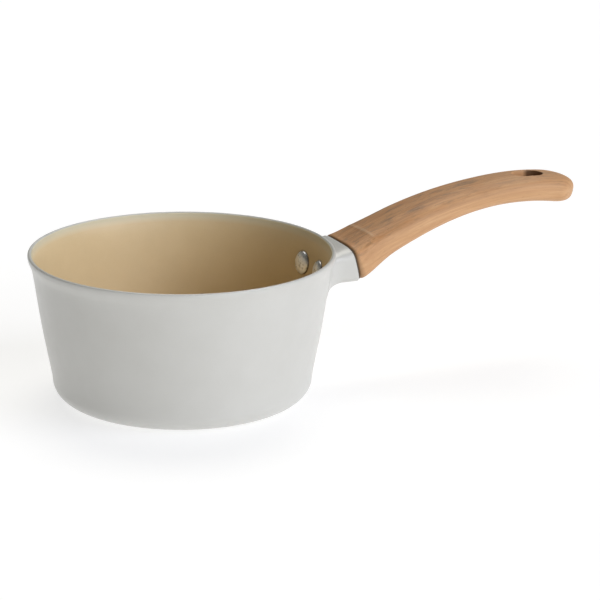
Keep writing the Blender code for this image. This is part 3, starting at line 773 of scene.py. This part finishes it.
def wood():
    """Oiled pale wood: fine grain along the grip, with darker figure, pores and smudges along its top, and
    its top partly darkened as painted shade.
    """
    n = Nodes("grip_wood")
    where = n.add("ShaderNodeAttribute", attribute_name="grain").outputs["Vector"]
    parts = n.split(where)
    run, up = parts["X"], parts["Z"]
    warp = n.noise(n.scaled(where, (18.0, 60.0, 60.0)), 3.0, 0.55)
    broad = n.noise(n.scaled(where, (16.0, 260.0, 260.0)), 4.0, 0.6, 1.2)
    lines = n.noise(n.scaled(where, (26.0, 1100.0, 1100.0)), 4.0, 0.65, 0.8)
    pores = n.noise(n.scaled(where, (240.0, 3000.0, 3000.0)), 2.0, 0.5)
    smudge = n.noise(n.scaled(where, (60.0, 240.0, 240.0)), 4.0, 0.62, 1.0)
    amber = n.noise(n.scaled(where, (75.0, 300.0, 300.0)), 3.0, 0.6, 0.6)
    # The top is darker partly from its figure and smudges, partly as painted shade
    top = n.range(up, *WOOD_TOP, 0.0, 1.0)
    front = n.range(run, *WOOD_FRONT, 1.0, 0.35)
    top_figure_and_shade = n.math("MULTIPLY", top, front)
    side = n.ramp(
        broad, (0.28, (0.472, 0.254, 0.122)), (0.50, (0.566, 0.324, 0.162)), (0.74, (0.625, 0.381, 0.208))
    )
    crown = n.ramp(
        broad, (0.30, (0.420, 0.208, 0.090)), (0.50, (0.550, 0.286, 0.126)), (0.72, (0.650, 0.360, 0.174))
    )
    base = n.mix(n.math("MULTIPLY", top_figure_and_shade, 0.9), side, crown)
    glow = n.math("MULTIPLY", n.range(amber, 0.54, 0.66, 0.0, 0.55), top_figure_and_shade)
    orange = n.mix(glow, base, (0.50, 0.215, 0.075))
    lined = n.mix(n.range(lines, 0.30, 0.62, 0.32, 0.0), orange, (0.36, 0.185, 0.085))
    blots = n.math("MULTIPLY", n.range(smudge, 0.50, 0.66, 0.0, 0.75), top_figure_and_shade)
    smudged = n.mix(blots, lined, (0.205, 0.140, 0.090))
    flecks = n.math("MULTIPLY", n.range(pores, 0.62, 0.72, 0.0, 0.55), n.range(top, 0.0, 1.0, 0.35, 1.0))
    flecked = n.mix(flecks, smudged, (0.14, 0.075, 0.035))
    # Painted shade: the rounded front edge next to the seal darkened
    front_shade = n.mix(n.range(run, *FRONT_SHADE_RUN, 0.62, 0.0), flecked, (0.17, 0.095, 0.045))
    # Painted highlight along the ridge
    ridge_lit = n.mix(ridge_highlight(n, parts), front_shade, (0.70, 0.50, 0.32))
    painted_hole_walls, along = hole_walls(n)
    hole_end_shade = n.range(along, *HOLE_SHADE_OFFSETS, 0.0, 1.0)
    # Painted light and shade in the hang hole: pale as if lit towards the pan, dark as if shaded at the tip
    # end
    colour = n.mix(painted_hole_walls, ridge_lit, n.mix(hole_end_shade, (0.54, 0.305, 0.152), (0.12, 0.056, 0.020)))
    n.bump(n.math("SUBTRACT", lines, n.math("MULTIPLY", pores, 0.8)), 0.14, 0.0004)
    rough = n.range(warp, 0.3, 0.7, 0.46, 0.58)
    return n.set(Base_Color=colour, Roughness=rough, Specular_IOR_Level=0.35)


def rubber():
    """Dull brown-black rubber with a fine grain."""
    n = Nodes("gasket_rubber")
    cloud = n.noise(n.place(700.0), 3.0)
    colour = n.ramp(cloud, (0.3, (0.060, 0.038, 0.024)), (0.7, (0.095, 0.064, 0.042)))
    n.bump(cloud, 0.2, 0.0002)
    return n.set(Base_Color=colour, Roughness=n.range(cloud, 0.3, 0.7, 0.62, 0.75))


def machined_metal(name, tint, rough, rings=0.0):
    """Bare metal with fine scratches, or with the rings of a lathe where rings is over nought."""
    n = Nodes(name)
    cloud = n.noise(n.place(300.0), 4.0, 0.6)
    if rings:
        wave = n.add("ShaderNodeTexWave", wave_type="RINGS", rings_direction="Z")
        wave.inputs["Scale"].default_value = rings
        wave.inputs["Distortion"].default_value = 0.6
        wave.inputs["Detail"].default_value = 2.0
        n.join(n.place(1.0), wave.inputs["Vector"])
        marks = wave.outputs["Fac"]
    else:
        marks = n.noise(n.scaled(n.place(1.0), (2400.0, 2400.0, 260.0)), 2.0)
    dark = tuple(c * 0.82 for c in tint)
    colour = n.mix(n.range(cloud, 0.35, 0.7, 0.0, 0.6), tint, dark)
    n.bump(marks, 0.12, 0.0002)
    return n.set(Base_Color=colour, Metallic=1.0, Roughness=n.range(cloud, 0.3, 0.7, rough, rough + 0.10))


def rivet_metal():
    """Satin steel with fine scratches, with a painted dark reflection and shade round the head's foot."""
    n = Nodes("rivet_steel")
    rise = n.add("ShaderNodeAttribute", attribute_name="rise").outputs["Fac"]
    cloud = n.noise(n.place(420.0), 4.0, 0.65)
    scratches = n.noise(n.scaled(n.place(1.0), (900.0, 900.0, 5200.0)), 2.0)
    steel = n.ramp(cloud, (0.36, (0.50, 0.52, 0.55)), (0.50, (0.90, 0.94, 0.98)), (0.75, (0.95, 0.97, 1.0)))
    # Painted dark reflection and shade near the seat, by height above it
    colour = n.mix(n.range(rise, *FOOT_SHADE_RISE, 0.88, 0.0), steel, (0.075, 0.052, 0.032))
    n.bump(scratches, 0.35, 0.0002)
    return n.set(Base_Color=colour, Metallic=0.75, Roughness=n.range(cloud, 0.3, 0.7, 0.27, 0.40))


def floor_material():
    """A pale, matt floor that glows a little, so that it renders white."""
    n = Nodes("studio_floor")
    cloud = n.noise(n.place(3.0), 2.0)
    colour = n.ramp(cloud, (0.3, (0.43, 0.43, 0.43)), (0.7, (0.445, 0.445, 0.445)))
    n.set(Emission_Color=(1.0, 1.0, 1.0), Emission_Strength=FLOOR_GLOW)
    return n.set(Base_Color=colour, Roughness=0.9, Specular_IOR_Level=0.1)


# ---------------------------------------------------------------- pieces on the frame


def add_piece(obj, material, slot, *nodes):
    """Gives a piece its material and fixes it to the body in place of the CAD nodes. The slot argument is
    not used.
    """
    obj.data.materials.clear()
    obj.data.materials.append(material)
    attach(obj, "root")
    if nodes:
        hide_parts(*nodes)


def dress_node(node, material):
    """Gives a CAD node that is kept as it is a material."""
    obj = NODES[node]
    obj.data.materials.clear()
    obj.data.materials.append(material)


def build_pan():
    outside = lacquer()
    rivet_steel = rivet_metal()
    plate_steel = machined_metal("induction_steel", (0.56, 0.55, 0.53), 0.30, 420.0)
    pip_metal = machined_metal("pip_aluminium", (0.72, 0.72, 0.72), 0.35)
    screw_steel = machined_metal("screw_steel", (0.58, 0.57, 0.55), 0.30)
    add_piece(make_body(), outside, "outer_lacquer", "pan_shell")
    add_piece(make_lining(), ceramic(), "ceramic_lining", "ceramic_lining")
    add_piece(make_plate(), plate_steel, "induction_steel", "induction_plate")
    add_piece(make_pips(), pip_metal, "induction_steel")
    add_piece(make_rivet("rivet_head_left", 1), rivet_steel, "rivet_steel", "rivet_left")
    add_piece(make_rivet("rivet_head_right", -1), rivet_steel, "rivet_steel", "rivet_right")
    add_piece(make_bracket(), outside, "outer_lacquer", "handle_bracket")
    add_piece(make_gasket(), rubber(), "gasket_rubber", "joint_gasket")
    add_piece(make_grip(), wood(), "grip_wood", "wooden_grip")
    for node in ("grip_screw", "screw_washer"):
        dress_node(node, screw_steel)


# ---------------------------------------------------------------- studio

CAMERA_TARGET = Vector((0.05773, -0.02631, 0.05288))
CAMERA_AZIMUTH = math.radians(-24.5)
CAMERA_ELEVATION = math.radians(16.89)
CAMERA_ROLL = math.radians(0.52)
CAMERA_DISTANCE = 1.320
CAMERA_LENS = 146.9
CAMERA_SENSOR = 36.0
FLOOR_HALF_SIDE = 4.0
FLOOR_GLOW = 0.67
SKY_HORIZON = (0.355, 0.355, 0.325)
SKY_TOP = (0.02, 0.02, 0.02)
SKY_TOP_FROM = 0.55

# Very large, far softboxes: name, azimuth, elevation, strength and colour. Azimuth 0 is on the side of +X,
# and 90 on the side of +Y
SOFTBOX_ANGLE = 40.0
SOFTBOXES = (
    ("front", -82.5, 12.0, 1.30, (0.99, 1.0, 1.01)),
    ("key", -44.5, 35.0, 1.36, (0.96, 0.99, 1.09)),
    ("high_back", 65.5, 60.0, 1.52, (1.0, 0.97, 0.89)),
)


def add_camera():
    level = Vector((-math.sin(CAMERA_AZIMUTH), math.cos(CAMERA_AZIMUTH), 0.0))
    ahead = level * math.cos(CAMERA_ELEVATION) - Vector((0.0, 0.0, math.sin(CAMERA_ELEVATION)))
    right = Vector((math.cos(CAMERA_AZIMUTH), math.sin(CAMERA_AZIMUTH), 0.0))
    up = right.cross(ahead)
    c, s = math.cos(CAMERA_ROLL), math.sin(CAMERA_ROLL)
    turn = Matrix((right * c + up * s, up * c - right * s, -ahead)).transposed()
    data = bpy.data.cameras.new("camera")
    data.lens = CAMERA_LENS
    data.sensor_width = CAMERA_SENSOR
    camera = bpy.data.objects.new("camera", data)
    camera.matrix_world = Matrix.Translation(CAMERA_TARGET - ahead * CAMERA_DISTANCE) @ turn.to_4x4()
    bpy.context.scene.collection.objects.link(camera)
    bpy.context.scene.camera = camera


def add_softbox(name, azimuth, elevation, strength, colour):
    data = bpy.data.lights.new(name, "SUN")
    data.angle = math.radians(SOFTBOX_ANGLE)
    data.energy = strength
    data.color = colour
    light = bpy.data.objects.new(name, data)
    a, e = math.radians(azimuth), math.radians(elevation)
    away = Vector((math.cos(a) * math.cos(e), math.sin(a) * math.cos(e), math.sin(e)))
    light.rotation_mode = "QUATERNION"
    light.rotation_quaternion = away.to_track_quat("Z", "Y")
    bpy.context.scene.collection.objects.link(light)


def add_sky():
    """A plain studio surround: pale at the horizon and dimmer overhead."""
    world = bpy.data.worlds.new("studio")
    world.use_nodes = True
    tree = world.node_tree
    where = tree.nodes.new("ShaderNodeTexCoord")
    split = tree.nodes.new("ShaderNodeSeparateXYZ")
    ramp = tree.nodes.new("ShaderNodeValToRGB")
    ramp.color_ramp.elements[0].position = 0.0
    ramp.color_ramp.elements[0].color = (*SKY_HORIZON, 1.0)
    ramp.color_ramp.elements[1].position = SKY_TOP_FROM
    ramp.color_ramp.elements[1].color = (*SKY_TOP, 1.0)
    tree.links.new(where.outputs["Generated"], split.inputs["Vector"])
    tree.links.new(split.outputs["Z"], ramp.inputs["Fac"])
    tree.links.new(ramp.outputs["Color"], tree.nodes["Background"].inputs["Color"])
    bpy.context.scene.world = world


def add_studio():
    bm = bmesh.new()
    bmesh.ops.create_grid(bm, x_segments=1, y_segments=1, size=FLOOR_HALF_SIDE)
    floor = finish_mesh("floor", bm)
    floor.data.materials.append(floor_material())
    add_sky()
    bpy.context.scene.view_settings.view_transform = "Standard"
    for softbox in SOFTBOXES:
        add_softbox(*softbox)


build_pan()
add_studio()
add_camera()
